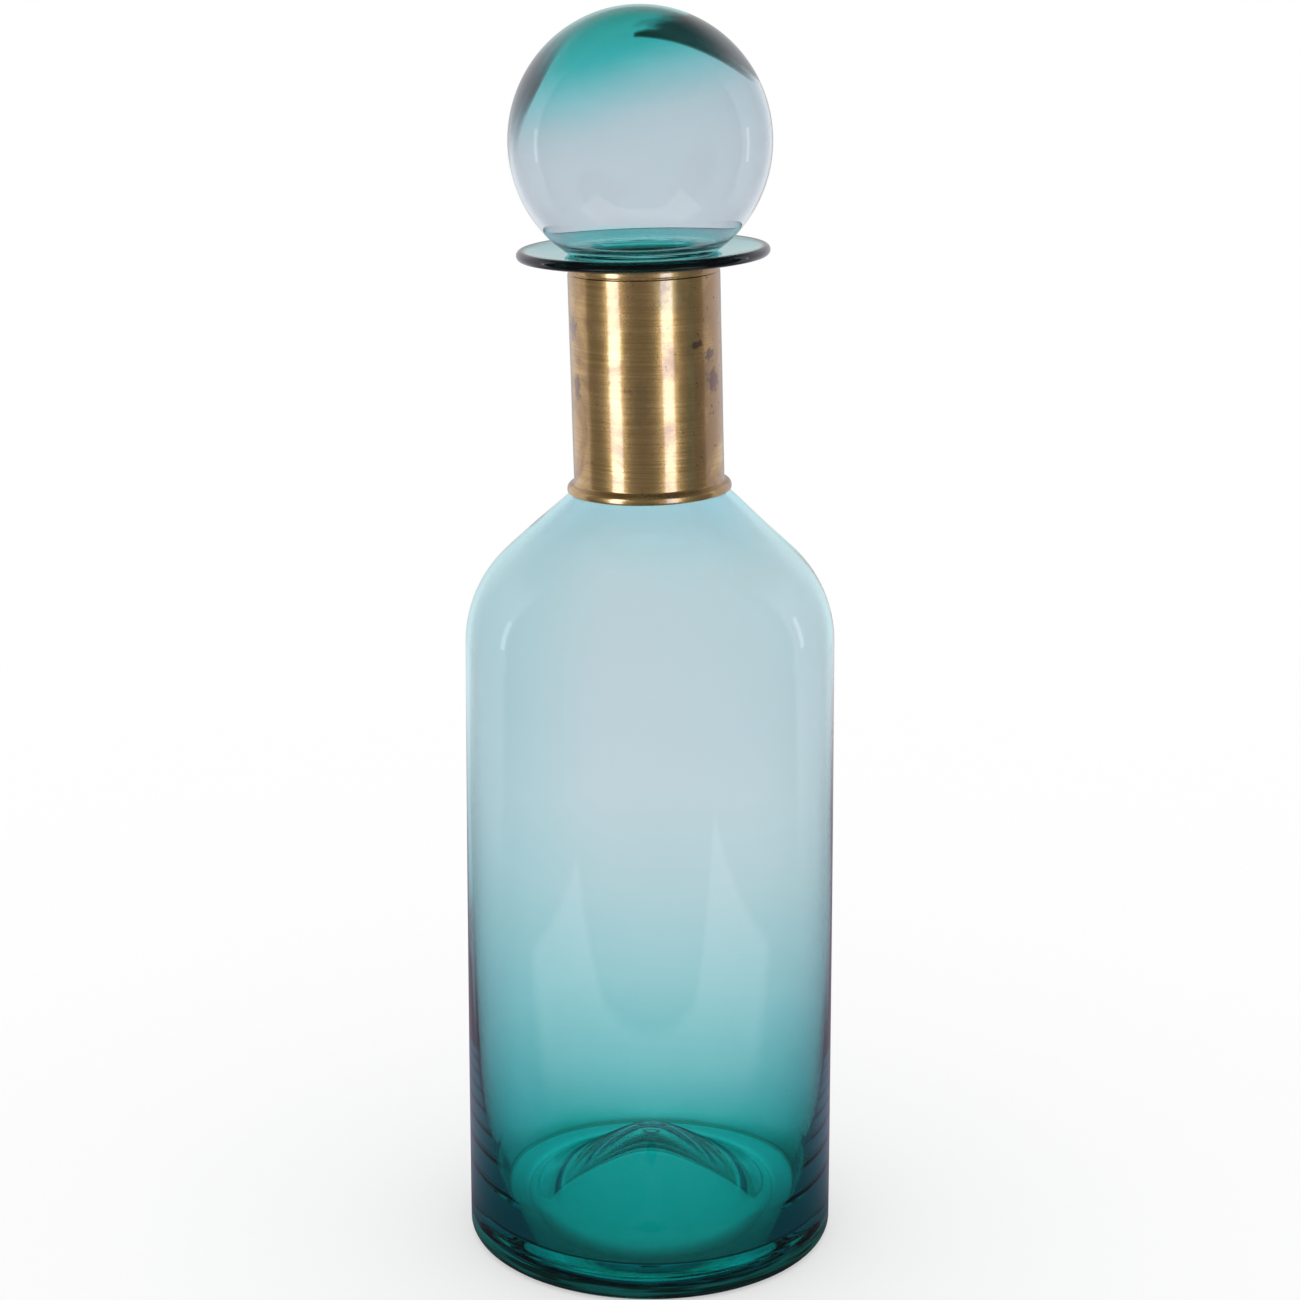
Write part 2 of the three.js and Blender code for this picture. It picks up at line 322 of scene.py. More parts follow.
# Painted shade at the back of the crown, for the dark that the ball's glass turns in from the room: a wedge
# with a clean foot and a feathered top
def addShadeWedge(tree, place, tint, shadeWedgeLook):
    centred = vectorNode(tree, "SUBTRACT", place, shadeWedgeLook["centre"])
    x, y, z = splitXYZ(tree, centred)
    height = mathNode(tree, "MULTIPLY_ADD", y, shadeWedgeLook["tilt"], z)
    skin = mathNode(tree, "GREATER_THAN", vectorNode(tree, "LENGTH", centred), shadeWedgeLook["skin"] * mm)
    onBack = times(tree, skin, rangeNode(tree, y, *millimetres(shadeWedgeLook["back"]), 0, 1))
    tipX, tipZ = shadeWedgeLook["tip"]
    across = times(tree, mathNode(tree, "SUBTRACT", x, tipX * mm), 1 / mm)
    across = mathNode(tree, "MAXIMUM", across, 0.0)
    level = mathNode(tree, "MULTIPLY_ADD", height, 1 / mm, -tipZ)
    drop = mathNode(tree, "POWER", mathNode(tree, "DIVIDE", across, shadeWedgeLook["length"]), shadeWedgeLook["footCurve"])
    overFoot = mathNode(tree, "MULTIPLY_ADD", drop, shadeWedgeLook["fall"], level)
    drawn = drawnOut(tree, place, shadeWedgeLook["featherDraw"])
    feather = noiseNode(tree, drawn, Scale=shadeWedgeLook["featherScale"], Detail=2.0)
    ragged = mathNode(tree, "SUBTRACT", feather.outputs["Fac"], 0.5)
    top = times(tree, mathNode(tree, "POWER", across, shadeWedgeLook["topCurve"]), shadeWedgeLook["rise"])
    top = mathNode(tree, "MULTIPLY_ADD", ragged, shadeWedgeLook["feather"], top)
    underTop = mathNode(tree, "SUBTRACT", top, level)
    overFoot = rangeNode(tree, overFoot, *shadeWedgeLook["footSoft"], 0, 1)
    underTop = rangeNode(tree, underTop, 0.0, shadeWedgeLook["soft"], 0, 1)
    tint = mixColour(tree, times(tree, overFoot, underTop, onBack), tint, shadeWedgeLook["colour"], "MULTIPLY")
    shadeBand = shadeWedgeLook["shadeBand"]  # painted shade: a slim dark band along the other side of the crown
    out = vectorNode(tree, "LENGTH", joinXYZ(tree, x, height))
    turn = mathNode(tree, "ARCTAN2", height, times(tree, x, -1.0))
    off = mathNode(tree, "SUBTRACT", turn, math.radians(shadeBand["turn"]))
    off = mathNode(tree, "DIVIDE", off, math.radians(shadeBand["reach"]))
    swell = mathNode(tree, "EXPONENT", times(tree, off, off, -1.0))
    bandEdge = mathNode(tree, "MULTIPLY_ADD", swell, -shadeBand["depth"] * mm, shadeBand["radius"] * mm)
    inShadeBand = rangeNode(tree, mathNode(tree, "SUBTRACT", out, bandEdge), 0.0, shadeBand["soft"] * mm, 0, 1)
    return mixColour(tree, times(tree, inShadeBand, swell, onBack), tint, shadeBand["colour"], "MULTIPLY")


# Clear glass whose colour follows the height, as glass dipped in a coloured gather does
def makeGlass(name, look):
    material, tree, shader = newMaterial(name)
    streaks = placeGroup(tree, blownStreaks, Scale=look["streakScale"], Upright=look["streakDraw"],
                         Amount=look["streakSway"])
    place = objectPlace(tree)
    x, y, z = splitXYZ(tree, place)
    sideways = rangeNode(tree, z, *millimetres(look["sidewaysFrom"]), 0, look["sideways"])
    level = mathNode(tree, "MULTIPLY_ADD", x, sideways, z)
    level = mathNode(tree, "ADD", level, streaks.outputs["Sway"])
    lowest, highest = look["heights"]
    share = mathNode(tree, "SUBTRACT", level, lowest * mm)
    share = mathNode(tree, "DIVIDE", share, (highest - lowest) * mm)
    stops = [((height - lowest) / (highest - lowest), colour) for height, colour in look["tint"]]
    tint = rampNode(tree, share, stops, "LINEAR")
    sight = newNode(tree, "ShaderNodeLayerWeight", Blend=0.5)  # a slanting look passes more glass
    slantDepth = rangeNode(tree, z, *millimetres(look["slantFrom"]), *look["slantDepth"])
    slant = times(tree, sight.outputs["Facing"], slantDepth)
    tint = mixColour(tree, slant, tint, mixColour(tree, 1.0, tint, tint, "MULTIPLY"))
    surface = newNode(tree, "ShaderNodeNewGeometry")
    entering = mathNode(tree, "SUBTRACT", 1.0, surface.outputs["Backfacing"])  # looked into from outside
    if "floor" in look:
        tint = addFootTintAndHeelShade(tree, place, entering, tint, look["floor"], look["heel"])
    if "flank" in look:  # the left side is a shade deeper
        flank = look["flank"]
        side = rangeNode(tree, x, *millimetres(flank["from"]), 0, 1)
        upper = rangeNode(tree, z, *millimetres(flank["above"]), 0, 1)
        tint = mixColour(tree, times(tree, side, upper), tint, flank["colour"], "MULTIPLY")
    if "rim" in look:  # painted shade: the rim is near black where it is looked into, as light that enters the rim runs on inside the lip
        rim = look["rim"]
        fromAxis = vectorNode(tree, "DISTANCE", place, rim["centre"])
        edge = rangeNode(tree, fromAxis, *millimetres(rim["from"]), 0, 1)
        onLip = mathNode(tree, "GREATER_THAN", z, rim["above"] * mm)
        tint = mixColour(tree, times(tree, edge, onLip, entering), tint, rim["colour"])
    # painted shade on the crown of the ball
    if "shadeWedge" in look:
        tint = addShadeWedge(tree, place, tint, look["shadeWedge"])
    link(tree, tint, shader.inputs["Base Color"])
    setInputs(shader, Roughness=0, IOR=look["ior"], Transmission_Weight=1)
    ripple = streaks.outputs["Ripple"]
    if "rippleFrom" in look:  # the thick foot is smooth
        ripple = times(tree, ripple, rangeNode(tree, z, *millimetres(look["rippleFrom"]), 0, 1))
    addBump(tree, shader, ripple, look["rippleStrength"], look["rippleDepth"])
    depth = newNode(tree, "ShaderNodeVolumeAbsorption", Color=(*look["depthColour"], 1),
                    Density=look["depthDensity"])
    link(tree, depth.outputs[0], tree.get_output_node("ALL").inputs["Volume"])
    return material


# Bottle of blown glass

bottle = {
    "footRadius": 65.1,
    "shoulderRadius": 63.7,
    "shoulderHeight": 218.7,
    "shoulderArc": 42.9,
    "shoulderSlope": 47.2,
    "sideCurve": 1.6,
    "heelRadius": 4.0,
    "footRing": 11.0,
    "wall": 1.7,
    "heelExtra": 7.6,
    "heelReach": 25.0,
    "floor": 11.0,
    "floorCorner": 7.0,
    "cornerRun": 14.0,
    "kickHeight": 25.0,
    "kickRadius": 42.0,
    "kickGlass": 4.6,
    "kickBlunt": 9.0,
    "kickFlare": 2.6,
    "recessRadius": 41.0,
    "recessFlare": 1.6,
    "dimpleRadius": 4.0,
    "dimpleDepth": 1.1,
    "dimpleEdge": 4,
    "neckRadius": 23.5,
    "neckWall": 3.2,
    "neckLength": 74.4,
    "rootFillet": 4.0,
    "boreFillet": 6.0,
    "lipRadius": 42.5,
    "lipThickness": 3.5,
    "lipRise": 1.9,
    "lipDish": 1.6,
    "lipSeat": 4.5,
    "lipFillet": 1.1,
    "mouthFillet": 1.6,
    "lean": math.radians(1.5),
    "bend": 17.0,
    "hollowShift": 0.4,  # the hollow sits to the right low down, so the left wall is thicker
    "shiftFrom": 160.0,
    "shiftTo": 70.0,
    "unevenness": 0.12,  # slow swells of the wall, between the heel and the shoulder
    "unevenBeyond": 45.0,
    "unevenFrom": (24.0, 60.0),
    "unevenTo": (210.0, 262.0),
    "swellAcross": 0.022,
    "swellUp": 0.006,
    "insideSeed": 7,
    "outsideShare": 0.6,
    "segments": 192,
}
bottleGlass = {
    "heights": (0.0, 360.0),
    "tint": [
        (3, (0.01, 0.294, 0.216)),
        (8, (0.041, 0.483, 0.444)),
        (16, (0.285, 0.599, 0.592)),
        (36, (0.469, 0.692, 0.716)),
        (54, (0.571, 0.758, 0.78)),
        (72, (0.688, 0.811, 0.841)),
        (110, (0.799, 0.832, 0.859)),
        (150, (0.935, 0.869, 0.9)),
        (205, (0.892, 0.841, 0.876)),
        (250, (0.875, 0.848, 0.875)),
        (275, (0.75, 0.85, 0.925)),
        (338, (0.575, 0.74, 0.745)),
        (352, (0.457, 0.54, 0.575)),
    ],
    "sideways": -0.03,
    "sidewaysFrom": (-1.0, 0.0),
    "slantFrom": (60.0, 150.0),
    "slantDepth": (1.6, 0.0),
    # painted shade: the front of the rim, near black where it is looked into
    "rim": {"from": (38.6, 40.4), "above": 340.0, "colour": (0.0006, 0.003, 0.0027)},
    "floor": {
        "within": (55.0, 57.0), "below": 45.0, "colour": (0.003, 0.45, 0.40),
        "kickWithin": (44.0, 49.0), "kick": (0.005, 0.73, 0.65),
    },
    # painted shade on the round of the heel, for the shadowed floor under the foot, broken into streaks
    "heel": {
        "beyond": (61.0, 62.0), "below": (9.0, 18.0), "colour": (0.03, 0.025, 0.016),
        "streakScale": 40.0, "streakDraw": (1, 1, 16), "streakFrom": (0.38, 0.60), "streakLeast": 0.35,
    },
    "flank": {"from": (-12.0, -48.0), "above": (60.0, 130.0), "colour": (0.93, 0.985, 0.99)},
    "ior": 1.5,
    "streakScale": 16.0,
    "streakDraw": 0.22,
    "streakSway": 0.03,
    "rippleStrength": 0.05,
    "rippleDepth": 0.004,
    "rippleFrom": (30.0, 90.0),
    "depthColour": (0.0, 0.94, 0.94),
    "depthDensity": 100.0,
}

slope = math.radians(bottle["shoulderSlope"])
arcCentre = bottle["shoulderRadius"] - bottle["shoulderArc"]
coneTop = (
    arcCentre + bottle["shoulderArc"] * math.cos(slope),
    bottle["shoulderHeight"] + bottle["shoulderArc"] * math.sin(slope),
)
neckRootZ = coneTop[1] + (coneTop[0] - bottle["neckRadius"]) / math.tan(slope)
lipUnderZ = neckRootZ + bottle["neckLength"]
seatZ = lipUnderZ + bottle["lipThickness"]
boreRadius = bottle["neckRadius"] - bottle["neckWall"]
lipSeatRadius = bottle["neckRadius"] + bottle["lipSeat"]
bendStartZ = neckRootZ - bottle["bend"]
pivotZ = bendStartZ + bottle["bend"] / 2


def leaned(x, y, z, share=1.0):  # the neck and all on it lean to the left
    turn = -bottle["lean"] * share
    up = z - pivotZ
    return (
        x * math.cos(turn) + up * math.sin(turn),
        y,
        pivotZ - x * math.sin(turn) + up * math.cos(turn),
    )


def sideRadius(z):
    share = (max(z, 0) / bottle["shoulderHeight"]) ** bottle["sideCurve"]
    return bottle["footRadius"] - (bottle["footRadius"] - bottle["shoulderRadius"]) * share


def innerSideRadius(z):
    gathered = bottle["heelExtra"] * math.exp((bottle["floor"] - z) / bottle["heelReach"])
    return sideRadius(z) - bottle["wall"] - gathered


def lipCurve(baseZ, topZ, inner, outer, steps):
    points = []
    for i in range(1, steps):
        share = i / steps
        points.append((inner + (outer - inner) * share, baseZ + (topZ - baseZ) * share ** bottle["lipDish"]))
    return points


def bottleOutside():
    b = bottle
    ringOuter = (b["footRadius"] - b["heelRadius"], 0)
    ringInner = (ringOuter[0] - b["footRing"], 0)
    recessTop = b["floor"] + b["kickHeight"] - b["kickGlass"]
    recess = kickPoints(b["recessRadius"], 0, recessTop, b["kickBlunt"], b["recessFlare"], steps=48)
    outline = recess[::-1] + straightPoints((recess[0][0], 0), ringInner, steps=8)
    outline += [ringInner] + straightPoints(ringInner, ringOuter, steps=5)
    heel = (b["footRadius"], 0)
    overHeel = (b["footRadius"], b["shoulderHeight"])
    outline += roundedCorner(ringInner, heel, overHeel, b["heelRadius"], steps=14)
    sideSteps = 48
    for i in range(1, sideSteps):
        z = b["heelRadius"] + (b["shoulderHeight"] - b["heelRadius"]) * i / sideSteps
        outline.append((sideRadius(z), z))
    outline += arcPoints(arcCentre, b["shoulderHeight"], b["shoulderArc"], b["shoulderArc"],
                         0, b["shoulderSlope"], steps=20)
    neckRoot = (b["neckRadius"], neckRootZ)
    neckTop = (b["neckRadius"], lipUnderZ)
    rootCorner = roundedCorner(coneTop, neckRoot, neckTop, b["rootFillet"])
    outline += straightPoints(coneTop, rootCorner[0], steps=12) + rootCorner
    lipUnder = (lipSeatRadius, lipUnderZ)
    topCorner = roundedCorner(neckRoot, neckTop, lipUnder, b["lipFillet"], steps=6)
    outline += straightPoints(rootCorner[-1], topCorner[0], steps=16) + topCorner
    rim = b["lipThickness"] / 2
    rimR = b["lipRadius"] - rim
    rimZ = seatZ + b["lipRise"] - rim
    outline.append(lipUnder)
    outline += lipCurve(lipUnderZ, rimZ - rim, lipSeatRadius, rimR, steps=10)
    outline += arcPoints(rimR, rimZ, rim, rim, -90, 90, steps=16)
    outline += lipCurve(seatZ, rimZ + rim, lipSeatRadius, rimR, steps=10)[::-1]
    return outline


def bottleInside():
    b = bottle
    seat = (lipSeatRadius, seatZ)
    mouth = (boreRadius, seatZ)
    innerArc = b["shoulderArc"] - b["wall"]
    innerCone = (
        arcCentre + innerArc * math.cos(slope),
        b["shoulderHeight"] + innerArc * math.sin(slope),
    )
    boreFoot = (boreRadius, innerCone[1] + (innerCone[0] - boreRadius) / math.tan(slope))
    mouthCorner = roundedCorner(seat, mouth, boreFoot, b["mouthFillet"], steps=6)
    footCorner = roundedCorner(mouth, boreFoot, innerCone, b["boreFillet"])
    outline = [seat] + straightPoints(seat, mouthCorner[0], steps=4) + mouthCorner
    outline += straightPoints(mouthCorner[-1], footCorner[0], steps=16) + footCorner
    outline += straightPoints(footCorner[-1], innerCone, steps=12)
    outline += arcPoints(arcCentre, b["shoulderHeight"], innerArc, innerArc, b["shoulderSlope"], 0, steps=20)
    floorZ = b["floor"]
    runZ = floorZ + b["cornerRun"]
    floorCorner = (innerSideRadius(floorZ), floorZ)
    above = (innerSideRadius(runZ), runZ)
    kick = kickPoints(b["kickRadius"], floorZ, b["kickHeight"], b["kickBlunt"], b["kickFlare"], steps=56)
    wallSteps = 56
    wallSpacing = 1.3  # closer rings near the foot, where the wall thickens
    for i in range(wallSteps - 1, 0, -1):
        z = runZ + (b["shoulderHeight"] - runZ) * (i / wallSteps) ** wallSpacing
        outline.append((innerSideRadius(z), z))
    outline += roundedCorner(above, floorCorner, kick[0], b["floorCorner"], steps=14)
    for r, z in kick:
        dip = b["dimpleDepth"] * math.exp(-((r / b["dimpleRadius"]) ** b["dimpleEdge"]))
        outline.append((r, z - dip))
    return outline


def makeBottle():
    b = bottle
    outside = bottleOutside()
    outline = outside + bottleInside()

    def place(r, z, angle, ring):
        x = r * math.cos(angle)
        y = r * math.sin(angle)
        inside = ring >= len(outside)
        onWall = smoothStep(z, *b["unevenFrom"]) * (1 - smoothStep(z, *b["unevenTo"]))
        if onWall and r > b["unevenBeyond"]:
            seed = b["insideSeed"] if inside else 0
            spot = Vector((x * b["swellAcross"], y * b["swellAcross"], z * b["swellUp"] + seed))
            swell = b["unevenness"] * onWall * noise.noise(spot) * (1 if inside else b["outsideShare"])
            x += swell * math.cos(angle)
            y += swell * math.sin(angle)
        if inside:
            x += b["hollowShift"] * (1 - smoothStep(z, b["shiftTo"], b["shiftFrom"]))
        return leaned(x, y, z, smoothStep(z, bendStartZ, bendStartZ + b["bend"]))

    piece = turnedMesh("blownBottle", outline, place, b["segments"])
    bottleGlass["rim"]["centre"] = millimetres(leaned(0, 0, seatZ))
    piece.data.materials.append(makeGlass("tealGlass", bottleGlass))
    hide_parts("glass_bottle")
    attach(piece, "bottle")


makeBottle()
print("bottle turned")


# Hollow ball stopper with an open stem

stopper = {
    "radius": 43.9,
    "halfHeight": 44.3,
    "wall": 1.0,
    "crown": 1.1,
    "seatRadius": 25.2,
    "seatRound": 2.4,
    "seatGap": 0.3,
    "floor": 2.6,
    "stemClearance": 0.9,
    "stemTaper": 1.0,
    "stemLength": 40.0,
    "stemWall": 2.4,
    "endRound": 1.1,
    "throat": 44.0,  # degrees below the middle where the hollow starts to draw in to the stem
    "throatDrop": 5.0,
    "throatInset": 0.15,
    "throatPull": (11.0, 8.0),
    "segments": 160,
}
stopperGlass = {
    "heights": (310.0, 440.0),
    "tint": [
        (312, (0.36, 0.68, 0.66)),
        (336, (0.36, 0.72, 0.70)),
        # painted shade: darker just below the seat, for the dark seen down the neck
        (344, (0.20, 0.50, 0.46)),
        (349.5, (0.10, 0.40, 0.34)),
        (351.5, (0.20, 0.92, 0.84)),
        (353, (0.27, 0.97, 0.92)),
        (356.5, (0.81, 0.838, 0.878)),
        (385, (0.763, 0.813, 0.853)),
        (398, (0.708, 0.791, 0.831)),
        (410, (0.529, 0.767, 0.805)),
        (421, (0.243, 0.7, 0.706)),
        (434, (0.18, 0.65, 0.615)),
    ],
    "sideways": -0.3,
    "sidewaysFrom": (375.0, 400.0),
    "slantFrom": (375.0, 400.0),
    "slantDepth": (0.1, 0.3),
    # painted shade on the back of the crown: a dark wedge and a slim dark band
    "shadeWedge": {
        "tip": (-2.6, 35.5),  # millimetres right of and above the middle of the ball
        "tilt": 0.082,
        "back": (-26.0, -8.0),
        "length": 43.5,
        "footCurve": 2.0,
        "footSoft": (-0.3, 0.4),
        "fall": 17.3,
        "rise": 2.0,
        "topCurve": 0.43,
        "feather": 5.0,
        "featherScale": 260.0,
        "featherDraw": (0.25, 0.25, 1.6),
        "soft": 2.2,
        "skin": 38.0,
        "colour": (0.02, 0.06, 0.048),
        "shadeBand": {
            "turn": 27.0, "reach": 29.0, "radius": 43.6, "depth": 4.6, "soft": 0.8,
            "colour": (0.02, 0.014, 0.022),
        },
    },
    "ior": 1.5,
    "streakScale": 14.0,
    "streakDraw": 0.5,
    "streakSway": 0.012,
    "rippleStrength": 0.05,
    "rippleDepth": 0.003,
    "depthColour": (0.50, 0.82, 0.84),
    "depthDensity": 60.0,
}


def makeStopper():
    s = stopper
    baseZ = seatZ + s["seatGap"]
    seatAngle = math.acos(s["seatRadius"] / s["radius"])
    centreZ = baseZ + s["halfHeight"] * math.sin(seatAngle)
    hollowTop = centreZ + s["halfHeight"] - s["crown"]
    hollowBottom = centreZ - s["halfHeight"] + s["wall"]
    hollowCentre = (hollowTop + hollowBottom) / 2
    hollowHalf = (hollowTop - hollowBottom) / 2
    floorZ = baseZ + s["floor"]
    stemTop = boreRadius - s["stemClearance"]
    stemEnd = stemTop - s["stemTaper"]
    endZ = baseZ - s["stemLength"]
    boreTop = (stemTop - s["stemWall"], floorZ)
    boreEnd = (stemEnd - s["stemWall"], endZ)
    stemFoot = (stemEnd, endZ)
    stemRoot = (stemTop, baseZ)
    seatEdge = (s["seatRadius"], baseZ)
    ball = arcPoints(0, centreZ, s["radius"], s["halfHeight"], -math.degrees(seatAngle), 90, steps=72)
    ball[-1] = (0, ball[-1][1])
    ball = ball[4:]  # the round of the seat takes the place of the first few
    hollow = arcPoints(0, hollowCentre, s["radius"] - s["wall"], hollowHalf, 90, -s["throat"], steps=72)
    hollow[0] = (0, hollow[0][1])
    throatTop = Vector(hollow[-1])
    throatEnd = Vector((boreTop[0] - s["throatInset"], boreTop[1] - s["throatDrop"]))
    firstPull, lastPull = s["throatPull"]
    heading = throatTop + (throatTop - Vector(hollow[-2])).normalized() * firstPull
    landing = throatEnd + Vector((0, lastPull))
    throatSteps = 24
    throat = []
    for i in range(1, throatSteps + 1):
        t = i / throatSteps
        point = throatTop * (1 - t) ** 3 + heading * 3 * t * (1 - t) ** 2
        point = point + landing * 3 * t * t * (1 - t) + throatEnd * t ** 3
        throat.append(tuple(point))
    outline = hollow + throat
    endCorner = roundedCorner(throat[-1], boreEnd, stemFoot, s["endRound"], steps=5)
    outline += straightPoints(throat[-1], endCorner[0], steps=10) + endCorner
    footCorner = roundedCorner(boreEnd, stemFoot, stemRoot, s["endRound"], steps=5)
    outline += footCorner + straightPoints(footCorner[-1], stemRoot, steps=10) + [stemRoot]
    seatCorner = roundedCorner(stemRoot, seatEdge, ball[0], s["seatRound"], steps=6)
    outline += straightPoints(stemRoot, seatCorner[0], steps=4) + seatCorner + ball

    def place(r, z, angle, ring):
        return leaned(r * math.cos(angle), r * math.sin(angle), z)

    piece = turnedMesh("ballStopper", outline, place, s["segments"])
    stopperGlass["shadeWedge"]["centre"] = millimetres(leaned(0, 0, centreZ))
    piece.data.materials.append(makeGlass("stopperGlass", stopperGlass))
    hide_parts("ball_stopper")
    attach(piece, "stopper")


makeStopper()
print("stopper turned")


# Brushed and tarnished metal effects, shared by the brass and the solder

wear = {
    "grainFrom": (0.28, 0.72),
    "scratchFrom": 0.62,
    "scratchSoft": 0.02,
    "scratchGain": 6.0,
    "patchFrom": (0.92, 1.22),
    "spotFrom": (0.6, 0.72),
    "stainGrit": 520.0,
    "stainEdge": (0.55, 1.1),
    "bumpDepth": 0.0004,
}


def makeBrushing():
    tree, given, result = newGroup("brushing", {"Fineness": 2600.0, "Length": 24.0}, ["Grain", "Scratch"])
    x, y, z = splitXYZ(tree, objectPlace(tree))
    along = given.outputs["Length"]
    up = times(tree, z, given.outputs["Fineness"])
    drawn = joinXYZ(tree, times(tree, x, along), times(tree, y, along), up)
    grain = noiseNode(tree, drawn, Scale=1.0, Detail=3.0, Roughness=0.6)
    link(tree, grain.outputs["Fac"], result.inputs["Grain"])
    scratch = noiseNode(tree, drawn, Scale=0.33, Detail=1.0, Roughness=0.4)
    thin = mathNode(tree, "SUBTRACT", scratch.outputs["Fac"], wear["scratchFrom"])
    thin = mathNode(tree, "SMOOTH_MAX", thin, 0.0, wear["scratchSoft"])
    link(tree, times(tree, thin, wear["scratchGain"]), result.inputs["Scratch"])
    return tree


def makeTarnish():
    tree, given, result = newGroup(
        "tarnish",
        {"Patch Scale": 60.0, "Spot Scale": 300.0, "Cover": 0.5, "Side Cover": 0.0},
        ["Patches", "Spots"],
    )
    place = objectPlace(tree)
    x = splitXYZ(tree, place)[0]
    patch = noiseNode(tree, place, Detail=5.0, Roughness=0.62, Distortion=0.8)
    link(tree, given.outputs["Patch Scale"], patch.inputs["Scale"])
    cover = mathNode(tree, "MULTIPLY_ADD", x, given.outputs["Side Cover"], given.outputs["Cover"])
    wide = newNode(tree, "ShaderNodeMapRange", interpolation_type="SMOOTHSTEP")
    link(tree, patch.outputs["Fac"], wide.inputs["Value"])
    for end, level in zip(("From Min", "From Max"), wear["patchFrom"]):
        link(tree, mathNode(tree, "SUBTRACT", level, cover), wide.inputs[end])
    link(tree, wide.outputs[0], result.inputs["Patches"])
    spot = noiseNode(tree, place, Detail=3.0, Roughness=0.7)
    link(tree, given.outputs["Spot Scale"], spot.inputs["Scale"])
    small = rangeNode(tree, spot.outputs["Fac"], *wear["spotFrom"], 0, 1)
    link(tree, times(tree, small, wide.outputs[0]), result.inputs["Spots"])
    return tree


brushing = makeBrushing()
tarnish = makeTarnish()


def addStains(tree, colour, stains):
    place = objectPlace(tree)
    rag = noiseNode(tree, place, Scale=wear["stainGrit"], Detail=4.0, Roughness=0.65)
    rough = mathNode(tree, "SUBTRACT", rag.outputs["Fac"], 0.5)
    for stain in stains:
        offset = vectorNode(tree, "SUBTRACT", place, millimetres(stain["place"]))
        scaled = vectorNode(tree, "DIVIDE", offset, millimetres(stain["reach"]))
        edge = mathNode(tree, "MULTIPLY_ADD", rough, stain["ragged"] * 2, vectorNode(tree, "LENGTH", scaled))
        cover = rangeNode(tree, edge, *wear["stainEdge"], stain["cover"], 0)
        colour = mixColour(tree, cover, colour, stain["colour"])
    return colour


def makeAgedMetal(name, look):
    material, tree, shader = newMaterial(name)
    brush = placeGroup(tree, brushing, Fineness=look["fineness"], Length=look["length"])
    stain = placeGroup(tree, tarnish, Patch_Scale=look["patchScale"], Spot_Scale=look["spotScale"],
                       Cover=look["cover"], Side_Cover=look["sideCover"])
    lines = rangeNode(tree, brush.outputs["Grain"], *wear["grainFrom"], 0, 1)
    colour = mixColour(tree, lines, look["grainDark"], look["grainLight"])
    colour = mixColour(tree, stain.outputs["Patches"], colour, look["patchColour"])
    colour = mixColour(tree, stain.outputs["Spots"], colour, look["spotColour"])
    if "stains" in look:
        colour = addStains(tree, colour, look["stains"])
    link(tree, colour, shader.inputs["Base Color"])
    rough = mathNode(tree, "MULTIPLY_ADD", brush.outputs["Grain"], look["grainRoughness"], look["roughness"])
    rough = mathNode(tree, "MULTIPLY_ADD", stain.outputs["Patches"], look["patchRoughness"], rough)
    link(tree, rough, shader.inputs["Roughness"])
    setInputs(shader, Metallic=1, Anisotropic=look["anisotropy"], Coat_Weight=look["coat"],
              Coat_Roughness=look["coatRoughness"], Coat_IOR=look["coatIor"])
    tangent = newNode(tree, "ShaderNodeTangent", direction_type="RADIAL", axis="Z")
    link(tree, tangent.outputs[0], shader.inputs["Tangent"])
    relief = mathNode(tree, "SUBTRACT", brush.outputs["Grain"], brush.outputs["Scratch"])
    addBump(tree, shader, relief, look["bump"], wear["bumpDepth"])
    return material


# Brass collar: a rolled sheet round the neck, closed at the back by a soldered seam

